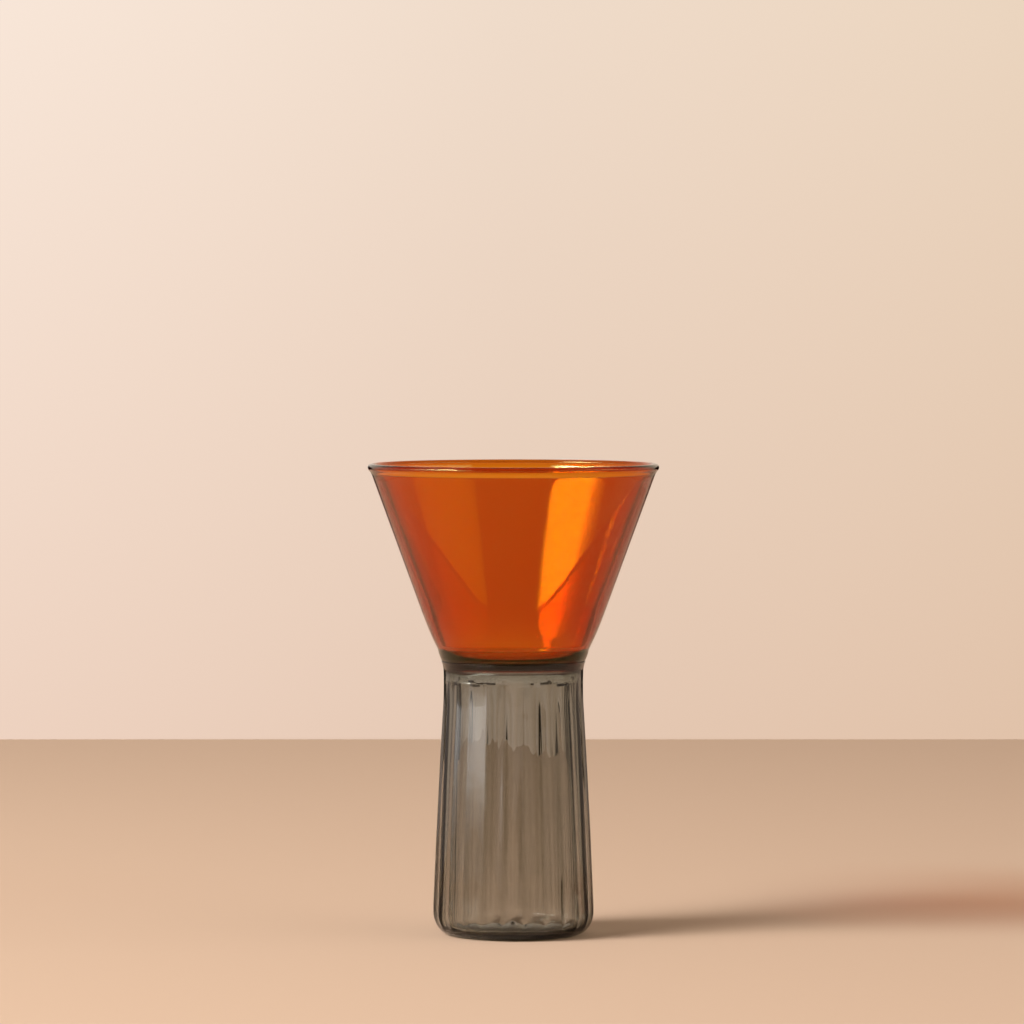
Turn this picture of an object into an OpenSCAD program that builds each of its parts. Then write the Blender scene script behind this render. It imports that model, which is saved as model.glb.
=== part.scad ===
// Cortado glass: an amber conical bowl fused on a hollow, fluted foot of smoke-grey glass.
// The glass stands on the table at z = 0, and +Z is the common axis of the foot and the bowl.

/* [Overall] */
// Height of the foot, from the table to the underside of the bowl
foot_h = 79.4; // [70:0.1:95]
// Height of the bowl, from its underside to the middle of the rim bead
bowl_h = 58.5; // [50:0.1:70]
// Diameter over the rim bead
rim_d = 86; // [80:0.5:94]

/* [Bowl] */
// Thickness of the bead that the flame draws together at the rim
bead_d = 2.3; // [2.1:0.1:3]
// How far the bead stands out from the outer face of the wall
bead_proud = 0.4; // [0.2:0.05:0.45]
// Thickness of the conical wall
bowl_wall = 1.7; // [1.4:0.1:1.8]
// Height above the underside at which the straight wall starts to bend in
bend_h = 17.6; // [14:0.1:20]
// Outer radius of the wall at that height
bend_r = 27.6; // [26.5:0.1:28.5]
// Height of the rounded bottom corner, below the bend
corner_h = 5; // [4:0.1:6]
// Outer radius of the wall at that height
corner_r = 22.3; // [21.9:0.1:22.7]
// Radius at which the wall would reach the underside if the corner were sharp
corner_foot_r = 21.3; // [21:0.1:21.6]
// Radius of the flat part of the underside
flat_r = 19; // [18.6:0.1:19.4]
// Thickness of the floor
floor_t = 2.1; // [1.6:0.1:3]
// Height of the rounded corner inside, between the wall and the floor
floor_corner_h = 2.2; // [1.6:0.1:3]
// Width of that corner
floor_corner_w = 2.4; // [1.6:0.1:4]

/* [Foot] */
// Outer radius at the top of the heel, over the ridges
heel_r = 23.9; // [23:0.1:26]
// Height of the rounded heel
heel_h = 7.4; // [6:0.1:9]
// Width of the rounded heel
heel_w = 5.4; // [4.5:0.1:6.5]
// Height at which the taper ends, and the flutes have run out
taper_h = 68; // [60:0.5:70]
// Outer radius there
taper_r = 20.85; // [20.7:0.05:21.2]
// How far the wall bows out, halfway up the taper
bow = 0.18; // [0.05:0.01:0.25]
// Outer radius of the upright neck
neck_r = 20.65; // [20.3:0.05:20.7]
// How far below the bowl's underside the neck starts to flare
neck_drop = 1.8; // [1:0.1:2.5]
// How far the flared mouth wraps up around the bowl's bottom corner
lip_rise = 1.4; // [1.1:0.1:2]
// Thickness at the upper edge of the flared mouth
lip_t = 0.25; // [0.15:0.05:0.5]
// Thickness of the foot's wall
foot_wall = 2.2; // [1.8:0.1:2.6]
// Thickness of the foot's base
base_t = 2.4; // [2:0.1:3.2]
// Rise of the hollow under the base, which leaves a ring to stand on
push_up = 1; // [0.7:0.1:1.4]
// Width of the standing ring
ring_w = 2; // [1.5:0.1:3]
// Radius of the rounded corner inside, between the wall and the base
inner_corner = 3.4; // [2:0.1:5]

/* [Flutes] */
// Number of flutes around the foot
flutes = 24; // [20:1:28]
// Depth of a flute just above the heel
flute_depth = 0.5; // [0.35:0.05:0.55]
// Width of the ridge between two flutes, just above the heel
ridge_w = 0.6; // [0.4:0.1:1]

/* [Seam ring] */
// Height of the seam ring along the foot's inner wall
seam_h = 5.2; // [4.6:0.1:5.6]
// Width by which it leans in below the underside
seam_lean = 0.75; // [0.5:0.05:1]
// Width of the seam ring along the bowl's underside
seam_w = 1.6; // [1.3:0.1:3]

/* [Vent seal] */
// Diameter of the blow hole in the base
vent_d = 4; // [3:0.1:5.5]
// Diameter of the button that closes it
button_d = 8; // [7:0.1:11]
// Thickness of the button
button_t = 0.5; // [0.3:0.05:0.6]
// Height of the drop that the closing flame leaves inside
drop_h = 0.8; // [0.5:0.1:1.5]

/* [Hidden] */
$fn = 144;

// Number of straight steps in each curve of an outline
steps = 8;
// Where the rim bead starts and ends, turned from level with its middle
bead_turns = [-50, 190];
// How deep a flute is at each point of its path, from the standing ring to the top of the taper
depth_shares = [-0.05, 0.7, 1, -0.05];
// How much wider the wall gets for each unit of height, just above the rounded bottom corner
lean_share = 0.53;
// How far down the seam ring's leaning side the curves above and below it meet it
seam_shares = [0.22, 0.7];
// How much of the seam ring's height the line of its leaning side takes
seam_lean_share = 0.77;
// Turn around the heel, from level to upright, at the first two of these points
heel_turns = [75, 40];

rim_h = foot_h + bowl_h;
rim_r = rim_d / 2;
wall_top_r = rim_r - bead_proud;
floor_h = foot_h + floor_t;
bend_top = foot_h + bend_h;
// How much wider the conical wall gets for each unit of height
wall_slope = (wall_top_r - bend_r) / (bowl_h - bend_h);
// Thickness of the conical wall, measured level
wall_level = bowl_wall * sqrt(1 + pow(wall_slope, 2));

neck_h = foot_h - neck_drop;
seam_foot_h = foot_h - seam_h;
bore_r = neck_r - foot_wall;
stand_r = heel_r - heel_w;
ring_r = stand_r - ring_w;
vent_r = vent_d / 2;
hollow_r = button_d / 2 + ring_w;
// Height at which the line of the taper reaches the radius of the neck
upright_h = taper_h + (taper_r - neck_r) * (taper_h - heel_h) / (heel_r - taper_r);

// Height over which the wall bends in, above the rounded bottom corner
bend_run = bend_h - corner_h;

// Points of a curve that leaves a towards b and arrives at c from b
function bend(a, b, c, from = 0, to = 1) = [
    for (i = [0 : steps])
        let (t = from + (to - from) * i / steps)
        a * pow(1 - t, 2) + b * 2 * t * (1 - t) + c * pow(t, 2)
];

function after_first(points) = [for (i = [1 : len(points) - 1]) points[i]];

function joined(curves) = concat(curves[0], [for (i = [1 : len(curves) - 1]) each after_first(curves[i])]);

// The outside of the wall's bend, from the straight wall down to the rounded bottom corner
function wall_bend(from, to) = [
    for (i = [0 : steps])
        let (
            t = from + (to - from) * i / steps,
            third = bend_run / 3,
            upper = bend_r * (1 - t) + 3 * (bend_r - wall_slope * third) * t,
            lower = 3 * (corner_r + lean_share * third) * (1 - t) + corner_r * t
        )
        [upper * pow(1 - t, 2) + lower * pow(t, 2), bend_top - bend_run * t]
];

// The outside of the rounded bottom corner, from the bend to the flat underside
function bottom_corner(from, to) = bend(
    [corner_r, foot_h + corner_h],
    [corner_foot_r, foot_h],
    [flat_r, foot_h],
    from, to
);

// Where on the bottom corner the mouth's upper edge lies
lip_share = 1 - sqrt(lip_rise / corner_h);
lip_edge = bottom_corner(lip_share, 1)[0];

// Point on the rim bead, from the wall's outer face at 0, over the top, to its inner face at 1
function bead_point(share) =
    let (angle = bead_turns[0] + (bead_turns[1] - bead_turns[0]) * share)
    [rim_r - bead_d / 2, rim_h] + bead_d / 2 * [cos(angle), sin(angle)];

// Point on the rounded heel, where a turn of 0 is level with its top and 90 is on the table
function heel_point(angle) = [stand_r + heel_w * cos(angle), heel_h - heel_h * sin(angle)];

// The outside of the foot, from the heel to the top of the taper
wall_curve = bend(
    [heel_r, heel_h],
    [(heel_r + taper_r) / 2 + 2 * bow, (heel_h + taper_h) / 2],
    [taper_r, taper_h]
);

// The outside of the foot, from the top of the taper to the neck
neck_curve = bend([taper_r, taper_h], [neck_r, upright_h], [neck_r, neck_h]);

// The flared mouth, from the neck to its upper edge
mouth_curve = bend([neck_r, neck_h], [neck_r, foot_h], lip_edge + [lip_t, 0]);

// The inside of the foot, from the seam ring down to the rounded corner
wall_foot = [heel_r - foot_wall, base_t + inner_corner];
inner_curve = joined([
    bend([bore_r, seam_foot_h], [bore_r, upright_h], [taper_r - foot_wall, taper_h]),
    [for (i = [0 : steps]) wall_curve[steps - i] - [foot_wall, 0]],
    [[heel_r - foot_wall, heel_h], wall_foot]
]);

module amber_bowl() {
    neck_end = [wall_top_r - wall_slope * bead_d, rim_h - bead_d];
    inner_share = (bend_h - floor_t - floor_corner_h) / bend_run;
    inner_bend = [for (point = wall_bend(0, inner_share)) point - [wall_level, 0]];
    inner_end = inner_bend[steps];
    floor_corner = [inner_end.x - lean_share * floor_corner_h, floor_h];
    floor_edge = floor_corner - [floor_corner_w, 0];
    color("#C2560F")
    rotate_extrude()
    polygon(joined([
        [[0, foot_h], [flat_r, foot_h]],
        bottom_corner(1, lip_share),
        bottom_corner(lip_share, 0),
        wall_bend(1, 0),
        [[bend_r, bend_top], neck_end, bead_point(0)],
        [for (i = [0 : 2 * steps]) bead_point(i / (2 * steps))],
        [bead_point(1), inner_bend[0]],
        inner_bend,
        bend(inner_end, floor_corner, floor_edge),
        [floor_edge, [0, floor_h]]
    ]));
}

module foot_blank() {
    middle_r = (ring_r + hollow_r) / 2;
    floor_edge = wall_foot - [inner_corner, inner_corner];
    floor_top = base_t + push_up;
    rotate_extrude()
    polygon(joined([
        [[ring_r, 0], [stand_r, 0]],
        [for (i = [0 : steps]) heel_point(90 - 90 * i / steps)],
        wall_curve,
        neck_curve,
        mouth_curve,
        [lip_edge + [lip_t, 0], lip_edge],
        bottom_corner(lip_share, 1),
        [[flat_r, foot_h], [bore_r, foot_h], [bore_r, seam_foot_h]],
        inner_curve,
        bend(wall_foot, [wall_foot.x, base_t], floor_edge),
        bend(floor_edge, [middle_r, floor_top], [hollow_r, floor_top]),
        [[hollow_r, floor_top], [vent_r, floor_top], [vent_r, push_up], [hollow_r, push_up]],
        bend([hollow_r, push_up], [middle_r, push_up], [ring_r, 0])
    ]));
}

// One flute: grooves of one round section, end to end along a path around the heel and up the wall
module flute() {
    pitch = 360 / flutes;
    sector = pitch - asin(ridge_w / 2 / heel_r);
    gap_w = 2 * heel_r * sin(pitch / 2) - ridge_w;
    // The groove's depth below a straight line from ridge to ridge
    dip = flute_depth - heel_r + sqrt(pow(heel_r, 2) - pow(gap_w / 2, 2));
    flute_r = (pow(gap_w / 2, 2) + pow(dip, 2)) / (2 * dip);
    surface = [
        heel_point(heel_turns[0]),
        heel_point(heel_turns[1]),
        [heel_r, heel_h],
        [taper_r, taper_h]
    ];
    // Straight outwards from the surface at each of these points
    outward = [
        [cos(heel_turns[0]), -sin(heel_turns[0])],
        [cos(heel_turns[1]), -sin(heel_turns[1])],
        [1, 0],
        [1, 0]
    ];
    path = [for (i = [0 : len(surface) - 1]) surface[i] - outward[i] * flute_depth * depth_shares[i]];
    intersection() {
        for (i = [0 : len(path) - 2]) groove(path[i], path[i + 1], flute_r);
        rotate([0, 0, -sector / 2]) rotate_extrude(angle = sector) square([heel_r + flute_r, foot_h]);
    }
}

// A round bar whose inner side lies along the line from low to high
module groove(low, high, radius) {
    run = high - low;
    lap = flute_depth;
    translate([low.x, 0, low.y])
    rotate([0, atan2(run.x, run.y), 0])
    translate([radius, 0, -lap])
    cylinder(r = radius, h = norm(run) + 2 * lap);
}

// The blank with its first flutes cut, one after another
module fluted(count) {
    if (count == 0) foot_blank();
    else difference() {
        fluted(count - 1);
        rotate([0, 0, count * 360 / flutes]) flute();
    }
}

module smoke_foot() {
    color("#6F675B") fluted(flutes);
}

// The melted ring fills the corner between the foot's inner wall and the bowl's underside
module seam_ring() {
    lean_top = [bore_r - seam_lean, foot_h];
    lean_foot = [bore_r, foot_h - seam_h * seam_lean_share];
    upper = lean_top + (lean_foot - lean_top) * seam_shares[0];
    lower = lean_top + (lean_foot - lean_top) * seam_shares[1];
    color("#4A3A2C")
    rotate_extrude()
    polygon(joined([
        [[bore_r, seam_foot_h], [bore_r, foot_h], [bore_r - seam_w, foot_h]],
        bend([bore_r - seam_w, foot_h], lean_top, upper),
        bend(lower, lean_foot, [bore_r, seam_foot_h])
    ]));
}

// The button lies in the hollow under the base, and its stem fills the blow hole
module vent_seal() {
    floor_top = base_t + push_up;
    color("#5A5348")
    rotate_extrude()
    polygon(joined([
        [[0, push_up - button_t], [button_d / 2 - button_t, push_up - button_t]],
        bend(
            [button_d / 2 - button_t, push_up - button_t],
            [button_d / 2, push_up - button_t],
            [button_d / 2, push_up]
        ),
        [[button_d / 2, push_up], [vent_r, push_up], [vent_r, floor_top]],
        bend([vent_r, floor_top], [vent_r, floor_top + drop_h], [0, floor_top + drop_h])
    ]));
}

amber_bowl();
smoke_foot();
seam_ring();
vent_seal();
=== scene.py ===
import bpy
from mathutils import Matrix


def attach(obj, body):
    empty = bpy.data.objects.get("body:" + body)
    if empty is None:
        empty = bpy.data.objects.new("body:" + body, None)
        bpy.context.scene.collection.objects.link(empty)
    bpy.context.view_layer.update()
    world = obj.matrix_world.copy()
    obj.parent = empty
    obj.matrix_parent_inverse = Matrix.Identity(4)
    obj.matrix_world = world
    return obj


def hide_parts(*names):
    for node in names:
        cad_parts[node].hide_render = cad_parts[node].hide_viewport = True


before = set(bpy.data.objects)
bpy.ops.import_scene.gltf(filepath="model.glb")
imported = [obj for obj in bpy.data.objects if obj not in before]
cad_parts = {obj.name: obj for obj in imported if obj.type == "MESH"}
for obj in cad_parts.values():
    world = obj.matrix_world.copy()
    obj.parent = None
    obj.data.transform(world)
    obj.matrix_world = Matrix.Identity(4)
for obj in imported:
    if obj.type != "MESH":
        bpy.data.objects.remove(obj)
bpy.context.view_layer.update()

import math
import bmesh
import bpy
import numpy
from mathutils import Quaternion, Vector


# Studio: a matt table top in warm plaster, with its far edge 0.7 m behind the glass, and a pale wall beyond.
# A long thin window lights them from 31 degrees up on the left, with weaker light from above and below it and
# from the right. To both sides the room is dark at the table's level, which draws the foot's dark lines.

floor_colour, wall_lit, wall_shaded, wall_bounce_tint = "#D4B59B", "#F6E4D6", "#E8D2BC", "#F4E9E3"
far_edge, near_edge, side_edge = 0.708, -3, 3
lens_mm, sensor_mm, nearest = 188.58, 36, 0.01
camera_place, camera_dip = (-0.00043, -1.58, 0.186), 2.2206
lamp_target = Vector((0, 0, 0.1))
# Only the camera sees the table further out to each side than this. The glass shows the dark room there
open_from = 0.34
# Directions into the room, by their share to the right in X, away in Y and up in Z: where the wall turns from
# lit to shaded, where painted bounce light from the table makes it warmer and darker, and where the table's
# colour takes over
shading_x, tint_z, table_z = (-0.1, 0.1), (0.055, -0.08), (-0.0805, -0.0825)
# Where the dark sides lie, from 14 degrees below the horizon to 9 above it, and how dark they are in between
dark_z, dark_shares = (-0.25, 0.15), [(0, 0), (0.22, 0), (0.34, 1), (0.75, 1), (0.9, 0), (1, 0)]
# How bright the room is at that level, from straight ahead or behind at 0 to square on at 1
side_shares = [(0, 1), (0.15, 1), (0.21, 0.04), (0.45, 0.04), (0.55, 0.8), (1, 0.95)]
# The ceiling is dim, most of all above and behind the camera
ceiling_z, ceiling_y, ceiling_glow = (0.3, 0.6), (-0.75, -0.3), (0.08, 0.15)


def linear(code):
    """An sRGB hex colour as linear red, green, blue and alpha."""
    shares = [int(code[i : i + 2], 16) / 255 for i in (1, 3, 5)]
    return [s / 12.92 if s <= 0.04045 else ((s + 0.055) / 1.055) ** 2.4 for s in shares] + [1]


def add(tree, kind, inputs=(), **settings):
    """Adds a node with its own settings. Its inputs come in order, or by name or number. Each is a value,
    another node's output, or a node that gives its first output."""
    node = tree.nodes.new("ShaderNode" + kind)
    for name, value in settings.items():
        setattr(node, name, value)
    for name, value in inputs.items() if isinstance(inputs, dict) else enumerate(inputs):
        if isinstance(value, bpy.types.Node):
            value = value.outputs[0]
        if isinstance(value, bpy.types.NodeSocket):
            tree.links.new(value, node.inputs[name])
        else:
            node.inputs[name].default_value = value
    return node


def share_along(tree, place, stops):
    """A share that follows place along a soft curve through the stops, each a place and its share."""
    shares = add(tree, "FloatCurve", {1: place})
    curve = shares.mapping.curves[0]
    curve.points[0].location, curve.points[-1].location = stops[0], stops[-1]
    for stop in stops[1:-1]:
        curve.points.new(*stop)
    shares.mapping.update()
    return shares


camera = bpy.data.objects.new("camera", bpy.data.cameras.new("camera"))
camera.data.lens, camera.data.sensor_width, camera.data.clip_start = lens_mm, sensor_mm, nearest
camera.location = camera_place
camera.rotation_euler = (math.radians(90 - camera_dip), 0, 0)
bpy.context.scene.collection.objects.link(camera)
bpy.context.scene.camera = camera
bpy.context.scene.view_settings.view_transform = "Standard"

# Plaster, trowelled and left matt: it scatters all light evenly, so it shows no gloss and a soft shadow
matt = bpy.data.materials.new("matt_plaster")
matt.use_nodes = True
tree = matt.node_tree
tree.nodes.clear()
skin = add(tree, "BsdfDiffuse", {"Color": linear(floor_colour)})
place = add(tree, "SeparateXYZ", [add(tree, "TexCoord").outputs["Object"]])
aside = add(tree, "Math", [place.outputs["X"]], operation="ABSOLUTE")
outer = add(tree, "Math", [aside, open_from], operation="GREATER_THAN")
seen = add(tree, "LightPath").outputs["Is Camera Ray"]
opened = add(tree, "Math", [outer, seen], operation="SUBTRACT", use_clamp=True)
top = add(tree, "MixShader", [opened, skin, add(tree, "BsdfTransparent")])
add(tree, "OutputMaterial", {"Surface": top})

form = bmesh.new()
bmesh.ops.create_grid(form, x_segments=1, y_segments=1, size=side_edge)
for vert in form.verts:
    vert.co.y = far_edge if vert.co.y > 0 else near_edge
table_mesh = bpy.data.meshes.new("table_top")
form.to_mesh(table_mesh)
form.free()
table_mesh.materials.append(matt)
table_top = bpy.data.objects.new("table_top", table_mesh)
bpy.context.scene.collection.objects.link(table_top)

# The wall is the world's own colour, so it shows in the glass as it shows past the glass
world = bpy.data.worlds.new("studio")
bpy.context.scene.world = world
world.use_nodes = True
tree = world.node_tree
tree.nodes.clear()
ray = add(tree, "SeparateXYZ", [add(tree, "TexCoord").outputs["Generated"]])
shaded = add(tree, "MapRange", [ray.outputs["X"], *shading_x])
wall = add(tree, "Mix", {0: shaded, 6: linear(wall_lit), 7: linear(wall_shaded)}, data_type="RGBA")
# Painted bounce light: towards the table the wall is multiplied by a warmer, darker tint, as if lit from the
# table
low = add(tree, "MapRange", [ray.outputs["Z"], *tint_z])
wall = add(
    tree, "Mix", {0: low, 6: wall.outputs[2], 7: linear(wall_bounce_tint)},
    data_type="RGBA", blend_type="MULTIPLY",
)
below = add(tree, "MapRange", [ray.outputs["Z"], *table_z])
wall = add(tree, "Mix", {0: below, 6: wall.outputs[2], 7: linear(floor_colour)}, data_type="RGBA")
aside = add(tree, "Math", [ray.outputs["X"]], operation="ABSOLUTE")
level = share_along(tree, add(tree, "MapRange", [ray.outputs["Z"], *dark_z]), dark_shares)
around = add(tree, "Mix", {0: level, 2: 1, 3: share_along(tree, aside, side_shares)})
ceiling = add(tree, "MapRange", [ray.outputs["Y"], *ceiling_y, *ceiling_glow])
high = add(tree, "MapRange", [ray.outputs["Z"], *ceiling_z])
room = add(tree, "Mix", {0: high, 2: around, 3: ceiling})
seen = add(tree, "LightPath").outputs["Is Camera Ray"]
bright = add(tree, "Math", [room, seen], operation="MAXIMUM")
add(tree, "OutputWorld", [add(tree, "Background", [wall.outputs[2], bright])])


def soft_window(name, turn, rise, far, width, height, glow, across, upwards, roll=0):
    """A lamp that faces the glass, so many degrees left of the camera and so many up, and rolled clockwise.
    across and upwards hold the shares of its glow, along it from the back of the room and up it."""
    lamp = bpy.data.lights.new(name, "AREA")
    lamp.shape, lamp.size, lamp.size_y = "RECTANGLE", width, height
    lamp.energy = glow * math.pi * width * height
    lamp.use_nodes = True
    tree = lamp.node_tree
    tree.nodes.clear()
    spot = add(tree, "SeparateXYZ", [add(tree, "NewGeometry").outputs["Parametric"]])
    along, up = share_along(tree, spot.outputs["X"], across), share_along(tree, spot.outputs["Y"], upwards)
    both = add(tree, "Math", [along, up], operation="MULTIPLY")
    add(tree, "OutputLight", [add(tree, "Emission", {"Strength": both})])
    turn, rise = math.radians(turn), math.radians(rise)
    way = Vector((-math.sin(turn) * math.cos(rise), -math.cos(turn) * math.cos(rise), math.sin(rise)))
    window = bpy.data.objects.new(name, lamp)
    window.location = way * far + lamp_target
    facing = way.to_track_quat("Z", "Y") @ Quaternion((0, 0, 1), math.radians(roll))
    window.rotation_euler = facing.to_euler()
    bpy.context.scene.collection.objects.link(window)


# The main window gets lower towards the back of the room. The bowl mirrors it as the bright band
soft_window(
    "window", turn=74, rise=31.4, far=2.5, width=3.3, height=0.3, glow=54, roll=15.5,
    across=[
        (0, 0), (0.2, 0.04), (0.33, 0.16), (0.45, 0.45), (0.56, 0.85), (0.64, 1), (0.76, 1), (0.83, 0.8),
        (0.9, 0.4), (0.96, 0.1), (1, 0),
    ],
    upwards=[(0, 0), (0.15, 0.85), (0.3, 1), (0.8, 1), (0.92, 0.8), (1, 0)],
)
# A shorter patch of light, above the window
soft_window(
    "window_head", turn=66, rise=43, far=2.5, width=0.7, height=0.5, glow=24,
    across=[(0, 0), (0.3, 1), (0.7, 1), (1, 0)],
    upwards=[(0, 0.3), (0.2, 1), (0.7, 1), (1, 0)],
)
# The low window shows as the pale stripe down the foot
soft_window(
    "window_foot", turn=74, rise=1.5, far=1.15, width=1.5, height=0.26, glow=3.4,
    across=[
        (0, 0), (0.15, 0.12), (0.3, 0.5), (0.39, 0.9), (0.5, 1), (0.78, 1), (0.87, 0.85), (0.94, 0.1), (1, 0),
    ],
    upwards=[(0, 0.1), (0.12, 0.35), (0.3, 1), (0.45, 0.6), (0.6, 0), (1, 0)],
)
# The bright side of the room shows as the paler patch on the bowl's left
soft_window(
    "bright_room", turn=-75, rise=31, far=2.5, width=2.9, height=0.5, glow=2.4, roll=-13,
    across=[(0, 0), (0.08, 1), (0.8, 1), (1, 0)],
    upwards=[(0, 0), (0.25, 1), (0.75, 1), (1, 0)],
)


# Smoke foot: the hollow foot of borosilicate glass, tinted grey all through and blown into a fluted mould.
# Its outside has the mould's 24 flutes, its inside has run almost smooth, and its base is closed but for a
# blow hole. Its flared mouth is melted on to the bottom corner of the bowl.

mm = 0.001
foot_h = 79.4
corner_r, corner_h, corner_foot_r, flat_r = 22.3, 5, 21.3, 19
heel_r, heel_h, heel_w = 23.9, 7.4, 5.4
taper_r, taper_h, bow = 20.85, 68, 0.18
neck_r, neck_h = 20.65, 77.6
lip_rise, lip_t = 1.4, 0.25
foot_wall, base_t, push_up, ring_w, inner_corner = 2.2, 2.4, 1, 2, 3.4
vent_r, button_r = 2, 4
seam_h = 5.2
smoke, smoke_density = "#88886F", 389

# A flute is a rounded hollow, with a narrow rounded ridge to each side that takes up this share of its width
flutes, flute_depth, ridge_share = 24, 0.6, 0.1
# Shares of the flutes' depth: what they lose on the way up the taper, and how much further in the inside lies
depth_lost, inside_share = 0.6, 0.3
# Waves round the foot: each one's size, how many go round, where it starts, and its winding per mm of height
flute_lean = [(0.8, 3, 1.1, 1 / 40), (0.5, 5, 2.3, 0)]
flute_unevenness = [(0.2, 7, 0.4, 0), (0.12, 11, 0, 1 / 20)]
inside_waves = [
    (0.05, 9, 2, 1 / 25), (0.035, 17, 0.5, -1 / 40), (0.02, 31, 1.9, 1 / 30), (0.02, 3, 0, 1 / 3.5),
]

bore_r, stand_r = neck_r - foot_wall, heel_r - heel_w
upright_h = taper_h + (taper_r - neck_r) * (taper_h - heel_h) / (heel_r - taper_r)
hollow_r = button_r + ring_w
floor_top = base_t + push_up
middle_r = (stand_r - ring_w + hollow_r) / 2
lip_share = 1 - math.sqrt(lip_rise / corner_h)


def line(a, c, steps):
    return [Vector(a).lerp(Vector(c), i / steps) for i in range(steps + 1)]


def bend(a, b, c, steps, start=0, end=1):
    """Points of a curve that leaves a towards b and arrives at c from b, or of the part from start to end."""
    shares = [start + (end - start) * i / steps for i in range(steps + 1)]
    return [Vector(a) * (1 - t) ** 2 + Vector(b) * 2 * t * (1 - t) + Vector(c) * t**2 for t in shares]


def bottom_corner(start, end, steps):
    """Points down the bowl's rounded bottom corner, from its top at 0 to the flat underside at 1."""
    return bend((corner_r, foot_h + corner_h), (corner_foot_r, foot_h), (flat_r, foot_h), steps, start, end)


def turned(outline, steps):
    """Turns an outline of radii and heights in mm round the axis."""
    closest = 0.0001
    form = bmesh.new()
    points = [outline[0]] + [p for q, p in zip(outline, outline[1:]) if (p - q).length > closest]
    verts = [form.verts.new((p.x * mm, 0, p.y * mm)) for p in points]
    edges = [form.edges.new(pair) for pair in zip(verts, verts[1:])]
    bmesh.ops.spin(
        form, geom=verts + edges, cent=(0, 0, 0), axis=(0, 0, 1), angle=math.tau, steps=steps, use_merge=True
    )
    bmesh.ops.remove_doubles(form, verts=form.verts, dist=closest * mm)
    bmesh.ops.recalc_face_normals(form, faces=form.faces)
    return form


def waves(terms, turn, height):
    return sum(size * math.sin(count * turn + start + wind * height) for size, count, start, wind in terms)


def pressed_depth(turn, height, up):
    """How deep the mould has pressed the outside in, at so much of the way up the taper."""
    place = (math.degrees(turn) + waves(flute_lean, turn, height)) * flutes / 360
    off = 2 * abs(place - round(place))
    hollow = 1 - ridge_share
    dip = 1 - off**2 if off < hollow else ridge_share + hollow / ridge_share * (1 - off) ** 2
    rise = min(height / heel_h, 1)
    start = rise * rise * (3 - 2 * rise)
    uneven = 1 + waves(flute_unevenness, turn, height)
    return flute_depth * (dip - ridge_share) / hollow * start * (1 - depth_lost * up) * uneven


def on_joint(at, joint):
    """Whether a point of radius and height lies on a joint's outline."""
    near, smallest = 0.02, 1e-9
    for a, b in zip(joint, joint[1:]):
        share = min(max((at - a).dot(b - a) / max((b - a).length_squared, smallest), 0), 1)
        if (at - a.lerp(b, share)).length < near:
            return True
    return False


def finished(name, form, glass, joints):
    """Makes the object in its glass, with the faces that lie on a joint marked as fused."""
    fused = form.faces.layers.float.new("fused")
    known = {}
    for face in form.faces:
        face.smooth = True
        middle = face.calc_center_median() / mm
        at = (round(middle.xy.length, 3), round(middle.z, 3))
        if at not in known:
            known[at] = any(on_joint(Vector(at), joint) for joint in joints)
        face[fused] = known[at]
    mesh = bpy.data.meshes.new(name)
    form.to_mesh(mesh)
    form.free()
    mesh.materials.append(glass)
    piece = bpy.data.objects.new(name, mesh)
    bpy.context.scene.collection.objects.link(piece)
    return piece


def clear_glass(name, tint, density, wave_mm, mirrored="#FFFFFF"):
    """Borosilicate glass, coloured in the mass: clear right through, with the faint waves of a fire-polished
    skin. Fused faces let all through. A lamp's light goes straight on, less the part that each face bends
    aside. The colour mirrored tints what the skin mirrors when seen square on."""
    wave_depth, borosilicate_ior, passed_on = 0.02 * mm, 1.473, "#ECECEC"
    glass = bpy.data.materials.new(name)
    glass.use_nodes = True
    tree = glass.node_tree
    tree.nodes.clear()
    place = add(tree, "TexCoord").outputs["Object"]
    ripples = add(tree, "TexNoise", {"Vector": place, "Scale": 1 / (wave_mm * mm), "Detail": 1})
    skin = add(tree, "Bump", {"Height": ripples, "Distance": wave_depth, "Strength": 1})
    body = add(tree, "BsdfPrincipled", {
        "Base Color": linear("#FFFFFF"), "Roughness": 0, "IOR": borosilicate_ior, "Transmission Weight": 1,
        "Specular Tint": linear(mirrored), "Normal": skin,
    })
    fused = add(tree, "Attribute", attribute_name="fused").outputs["Fac"]
    kept = add(tree, "Mix", {0: fused, 6: linear(passed_on), 7: linear("#FFFFFF")}, data_type="RGBA")
    straight = add(tree, "BsdfTransparent", {"Color": kept.outputs[2]})
    path = add(tree, "LightPath").outputs
    lit = add(tree, "Math", [path["Is Shadow Ray"], path["Is Diffuse Ray"]], operation="MAXIMUM")
    free = add(tree, "Math", [lit, fused], operation="MAXIMUM")
    surface = add(tree, "MixShader", [free, body, straight])
    inside = add(tree, "VolumeAbsorption", {"Color": linear(tint), "Density": density})
    add(tree, "OutputMaterial", {"Surface": surface, "Volume": inside})
    return glass


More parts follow.
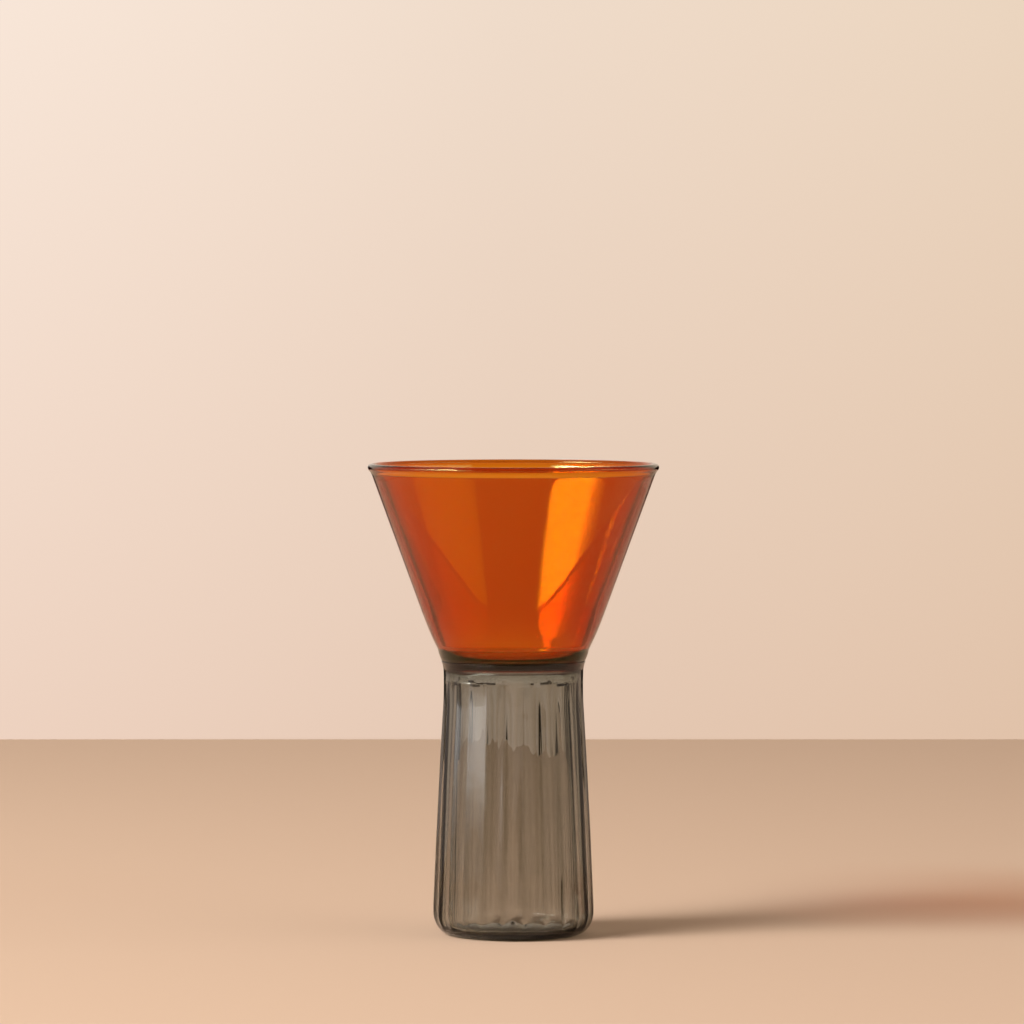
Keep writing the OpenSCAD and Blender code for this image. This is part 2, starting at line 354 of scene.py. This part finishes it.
heel = [
    Vector((stand_r + heel_w * math.cos(turn), heel_h - heel_h * math.sin(turn)))
    for turn in (math.radians(90 - 90 * i / 20) for i in range(21))
]
taper = bend(
    (heel_r, heel_h), ((heel_r + taper_r) / 2 + 2 * bow, (heel_h + taper_h) / 2), (taper_r, taper_h), 40
)
seat = bottom_corner(lip_share, 1, 16) + line((flat_r, foot_h), (bore_r, foot_h), 2)
outside = (
    heel
    + taper
    + bend((taper_r, taper_h), (neck_r, upright_h), (neck_r, neck_h), 10)
    + bend((neck_r, neck_h), (neck_r, foot_h), seat[0] + Vector((lip_t, 0)), 14)
)
seam_foot = Vector((bore_r, foot_h - seam_h))
wall_foot = Vector((heel_r - foot_wall, base_t + inner_corner))
floor_edge = wall_foot - Vector((inner_corner, inner_corner))
outline = (
    line((stand_r - ring_w, 0), (stand_r, 0), 3)
    + outside
    + seat
    + line((bore_r, foot_h), seam_foot, 4)
    + bend(seam_foot, (bore_r, upright_h), (taper_r - foot_wall, taper_h), 16)
    + [point - Vector((foot_wall, 0)) for point in reversed(taper)]
    + line((heel_r - foot_wall, heel_h), wall_foot, 2)
    + bend(wall_foot, (wall_foot.x, base_t), floor_edge, 12)
    + bend(floor_edge, (middle_r, floor_top), (hollow_r, floor_top), 8)
    + line((hollow_r, floor_top), (vent_r, floor_top), 4)
    + line((vent_r, floor_top), (vent_r, push_up), 3)
    + line((vent_r, push_up), (hollow_r, push_up), 4)
    + bend((hollow_r, push_up), (middle_r, push_up), (stand_r - ring_w, 0), 8)
)
form = turned(outline, 432)

# The mould presses the flutes into the outside, deepest just above the heel. The inside only waves a little
table_gap, skin_gap = 0.01, 0.05
heights, radii = [point.y for point in outside], [point.x for point in outside]
for vert in form.verts:
    radius, height = vert.co.xy.length / mm, vert.co.z / mm
    if not table_gap < height < neck_h:
        continue
    turn = math.atan2(vert.co.y, vert.co.x)
    up = min(max((height - heel_h) / (taper_h - heel_h), 0), 1)
    fade = min(max((neck_h - height) / (neck_h - taper_h), 0), 1)
    if radius > numpy.interp(height, heights, radii) - skin_gap:
        depth = pressed_depth(turn, height, up) * fade
    elif height > wall_foot.y:
        depth = waves(inside_waves, turn, height) + inside_share * flute_depth * (1 - depth_lost * up)
        depth *= fade * min((height - wall_foot.y) / heel_h, 1)
    else:
        continue
    vert.co.xy *= (radius - depth) / radius
bmesh.ops.recalc_face_normals(form, faces=form.faces)

# Blown into a cold mould: the flutes bend what is seen through them, under a skin with ripples 6 mm across
smoke_glass = clear_glass("smoke_borosilicate_mould_blown", smoke, smoke_density, 6)
smoke_foot = finished(
    "smoke_foot_glass", form, smoke_glass,
    [seat, line((bore_r, foot_h), seam_foot, 1), line((vent_r, floor_top), (vent_r, push_up), 1)],
)
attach(smoke_foot, "root")
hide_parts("smoke_foot")


# Amber bowl: the conical bowl of borosilicate glass, tinted amber all through, blown and spun open by hand.
# The flame has drawn its rim into a round bead, and its floor is flat and thicker than its wall.

bowl_h, rim_r, bowl_wall = 58.5, 43, 1.7
bead_r, bead_proud = 1.15, 0.4
bend_h, bend_r, corner_lean = 17.6, 27.6, 0.53
floor_t, floor_corner_h, floor_corner_w = 2.1, 2.2, 2.4
seam_w = 1.6
# The blown wall is a little thicker low down, and thins again where it was bent into the bottom corner
wall_swell, bend_thinning = 0.12, 0.4
# The bead runs from one angle to the other, and the wall joins it from these heights below its middle
bead_start, bead_end = -38, 182
join_out, pull_out, join_in, pull_in = 2.4, 1.3, 2, 0.7
amber, amber_mirrored, amber_density = "#F8DC45", "#EFFFA0", 2764

rim_h, floor_h = foot_h + bowl_h, foot_h + floor_t
bend_run = bend_h - corner_h
wall_slope = (rim_r - bead_proud - bend_r) / (bowl_h - bend_h)
wall_level = bowl_wall * math.hypot(1, wall_slope)
seam_in = Vector((bore_r - seam_w, foot_h))


def wall_point(height, inset=0):
    """A point of the wall's straight part, so far inside its outer face."""
    return Vector((bend_r + wall_slope * (height - foot_h - bend_h) - inset, height))


def wall_bend(start, end, steps, inset=0):
    """Points down the wall, from the foot of its straight part at 0 to the top of its bottom corner at 1."""
    pulls = (bend_r, bend_r - wall_slope * bend_run / 3, corner_r + corner_lean * bend_run / 3, corner_r)
    points = []
    for i in range(steps + 1):
        t = start + (end - start) * i / steps
        weights = ((1 - t) ** 3, 3 * t * (1 - t) ** 2, 3 * t**2 * (1 - t), t**3)
        radius = sum(weight * pull for weight, pull in zip(weights, pulls))
        points.append(Vector((radius - inset, foot_h + bend_h - bend_run * t)))
    return points


def bead_point(angle):
    way = Vector((math.cos(math.radians(angle)), math.sin(math.radians(angle))))
    return Vector((rim_r - bead_r, rim_h)) + bead_r * way


bend_end = (bend_h - floor_t - floor_corner_h) / bend_run
inner_bend = [
    point + Vector((bend_thinning * (i / 20) ** 2, 0))
    for i, point in enumerate(wall_bend(0, bend_end, 20, wall_level + wall_swell))
]
inner_end = inner_bend[-1]
floor_corner = Vector((inner_end.x - corner_lean * floor_corner_h, floor_h))
bowl_floor_edge = floor_corner - Vector((floor_corner_w, 0))
inner_join = wall_point(rim_h - join_in, wall_level)
outline = (
    line((0, foot_h), seam_in, 6)
    + line(seam_in, (bore_r, foot_h), 4)
    + seat[::-1]
    + bottom_corner(lip_share, 0, 10)
    + wall_bend(1, 0, 20)
    + line(wall_point(foot_h + bend_h), wall_point(rim_h - join_out), 30)
    + bend(wall_point(rim_h - join_out), wall_point(rim_h - pull_out), bead_point(bead_start), 5)
    + [bead_point(bead_start + (bead_end - bead_start) * i / 24) for i in range(25)]
    + bend(bead_point(bead_end), wall_point(rim_h - pull_in, wall_level), inner_join, 4)
    + line(inner_join, inner_bend[0], 30)
    + inner_bend
    + bend(inner_end, floor_corner, bowl_floor_edge, 12)
    + line(bowl_floor_edge, (0, floor_h), 8)
)
underside = line(seam_in, (bore_r, foot_h), 4)

# Blown free and fire-polished: clear and glossy, with hardly a ripple, and gold where it mirrors a light
amber_glass = clear_glass("amber_borosilicate_fire_polished", amber, amber_density, 9, amber_mirrored)
amber_bowl = finished("amber_bowl_glass", turned(outline, 360), amber_glass, [underside, seat])
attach(amber_bowl, "root")
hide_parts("amber_bowl")


# Seam ring: the collar of smoke glass that ran into the corner between the foot's wall and the bowl's
# underside when the two were melted together. It leans in under the bowl, and runs out in the wall below.
# Its outer side has become one with the foot and its top with the bowl.

seam_lean_h, seam_lean = 4, 0.75
straight_start, straight_end = 0.22, 0.7

lean_top, lean_foot = Vector((bore_r - seam_lean, foot_h)), Vector((bore_r, foot_h - seam_lean_h))
upper, lower = lean_top.lerp(lean_foot, straight_start), lean_top.lerp(lean_foot, straight_end)
outline = (
    line(seam_foot, (bore_r, foot_h), 4)
    + underside[::-1]
    + bend(seam_in, lean_top, upper, 10)
    + line(upper, lower, 6)
    + bend(lower, lean_foot, seam_foot, 10)
)

# Melted together in the flame: as clear as the foot, with the closer ripples of glass that has run
melted_glass = clear_glass("smoke_borosilicate_melted", smoke, smoke_density, 5)
seam_ring = finished(
    "seam_ring_glass", turned(outline, 288), melted_glass, [line(seam_foot, (bore_r, foot_h), 1), underside]
)
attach(seam_ring, "root")
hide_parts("seam_ring")


# Vent seal: the gather of smoke glass that closes the blow hole in the base, touched on and flattened last of
# all, once the hot air inside had found its way out. The flame has rounded its edge, and left a drop inside.

button_t, drop_h = 0.5, 0.8

button_foot = push_up - button_t
outline = (
    line((0, button_foot), (button_r - button_t, button_foot), 5)
    + bend((button_r - button_t, button_foot), (button_r, button_foot), (button_r, push_up), 6)
    + line((button_r, push_up), (vent_r, push_up), 4)
    + line((vent_r, push_up), (vent_r, floor_top), 4)
    + bend((vent_r, floor_top), (vent_r, floor_top + drop_h), (0, floor_top + drop_h), 10)
)

# Closed in the flame: a small glossy lens that gathers the light, with the shortest ripples of all
seal_glass = clear_glass("smoke_borosilicate_flame_closed", smoke, smoke_density, 4)
vent_seal = finished(
    "vent_seal_glass", turned(outline, 96), seal_glass,
    [line((button_r, push_up), (vent_r, push_up), 1), line((vent_r, push_up), (vent_r, floor_top), 1)],
)
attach(vent_seal, "root")
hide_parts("vent_seal")
